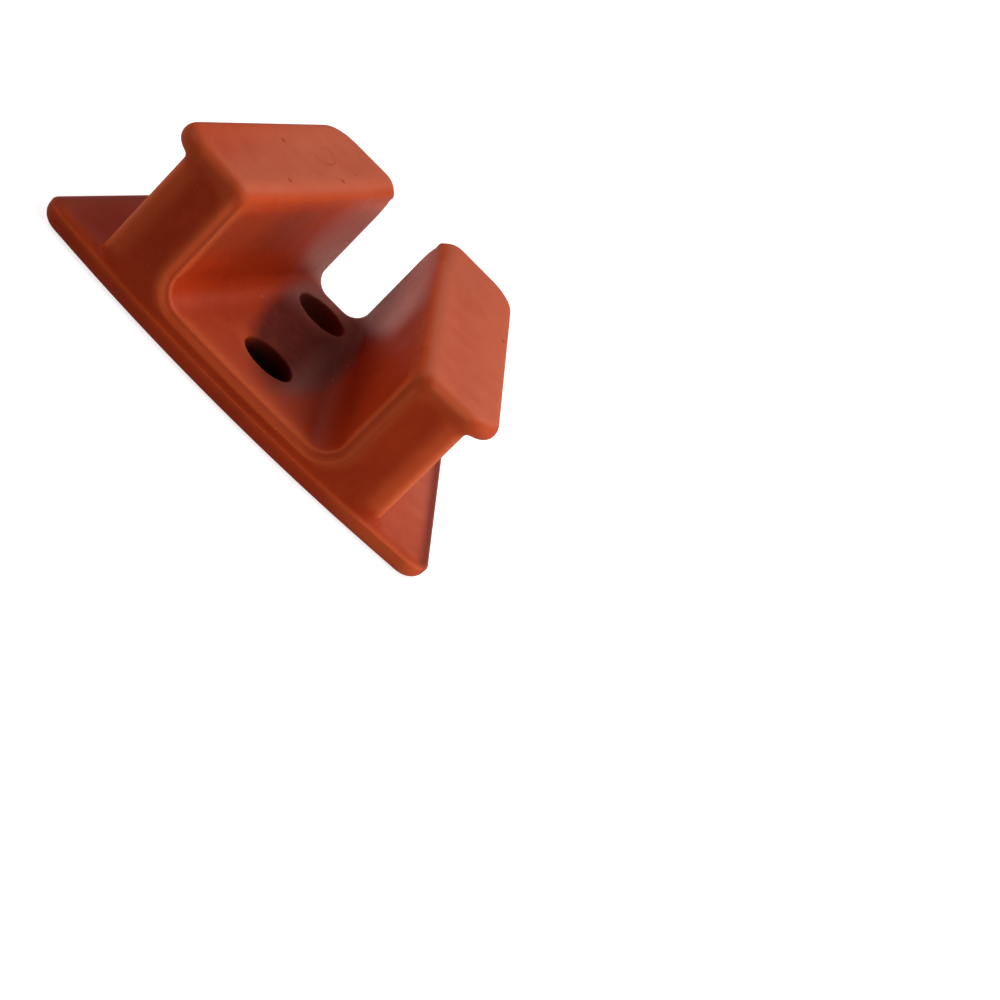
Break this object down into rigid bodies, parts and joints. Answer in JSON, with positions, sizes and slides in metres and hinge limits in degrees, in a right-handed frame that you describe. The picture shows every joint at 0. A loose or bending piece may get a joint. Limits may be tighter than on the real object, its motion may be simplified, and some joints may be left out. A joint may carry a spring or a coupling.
{
  "type": "dental bite block",
  "caption": "Child-size silicone bite block that props the jaws open: a cheek plate, two lobes with ribbed bite faces and flanged ends, and a tapering channel between them.",
  "frame": {"origin": "centre of the bounding box's bottom, on the outer face of the cheek plate", "axes": "+X along the cheek plate's wide edge, -Y out of the mouth, to the wide end, +Z from the cheek plate to the flanged ends, towards the tongue"},
  "size_m": [0.0352, 0.0244, 0.0123],
  "materials": {
    "silicone": "matt"
  },
  "bodies": {
    "root": {"bite_block": "silicone"}
  },
  "joints": []
}
